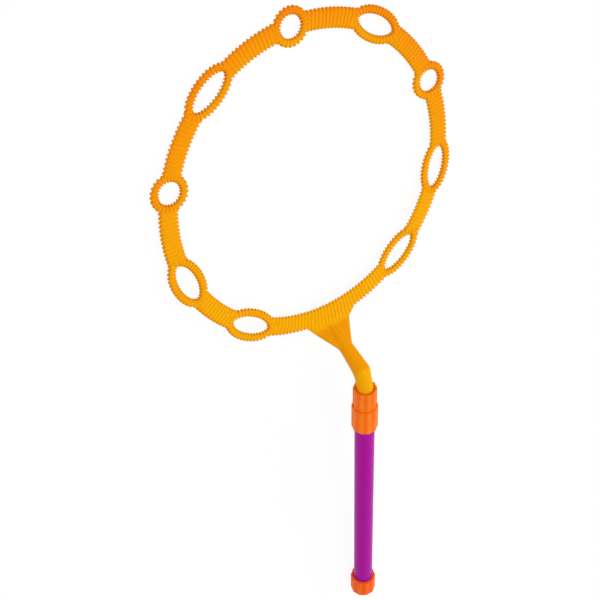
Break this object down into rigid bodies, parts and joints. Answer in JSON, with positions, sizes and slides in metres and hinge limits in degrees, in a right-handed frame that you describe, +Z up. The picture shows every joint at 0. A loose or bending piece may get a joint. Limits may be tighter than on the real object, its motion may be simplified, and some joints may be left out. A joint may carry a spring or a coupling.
{
  "type": "bubble wand",
  "caption": "Hand-held bubble wand: a large ribbed hoop with small round and oval bubble rings on a bent neck and a telescopic twist-lock handle.",
  "frame": {"origin": "on the table under the middle of the wand's length, where it lies with the hoop's front facing up", "axes": "+Z up, +Y along the wand from the end cap to the far end of the hoop, +X across the hoop"},
  "size_m": [0.2708, 0.6028, 0.0607],
  "materials": {
    "hoop_plastic": "moulded polypropylene, yellow-orange, soft gloss",
    "collar_plastic": "moulded polypropylene, orange, soft gloss",
    "tube_plastic": "extruded plastic tube, purple, glossy",
    "natural_plastic": "moulded acetal, natural white"
  },
  "bodies": {
    "handle": {"handle_tube": "tube_plastic", "ferrule": "collar_plastic", "end_cap": "collar_plastic"},
    "collet": {"collet": "natural_plastic"},
    "nut": {"clamp_nut": "collar_plastic"},
    "foot": {"stop_foot": "natural_plastic"},
    "hoop": {"hoop": "hoop_plastic", "inner_tube": "hoop_plastic"}
  },
  "joints": [
    {"name": "extension", "type": "slide", "parent": "handle", "child": "foot", "axis": [0, 0.9898, 0.1424], "range_m": [0, 0.1893]},
    {"name": "hoop_turn", "type": "hinge", "parent": "foot", "child": "hoop", "pos_m": [0, -0.02277, 0.05095], "axis": [0, 0.9898, 0.1424], "continuous": true},
    {"name": "collet_lift", "type": "slide", "parent": "handle", "child": "collet", "axis": [0, 0.9898, 0.1424], "range_m": [0, 0.00225]},
    {"name": "nut_turn", "type": "hinge", "parent": "collet", "child": "nut", "pos_m": [0, -0.02277, 0.05095], "axis": [0, 0.9898, 0.1424], "range_deg": [0, 270]}
  ],
  "couplings": [
    {"joint": "nut_turn", "follows": "collet_lift", "rad_per_m": 2094.4}
  ]
}
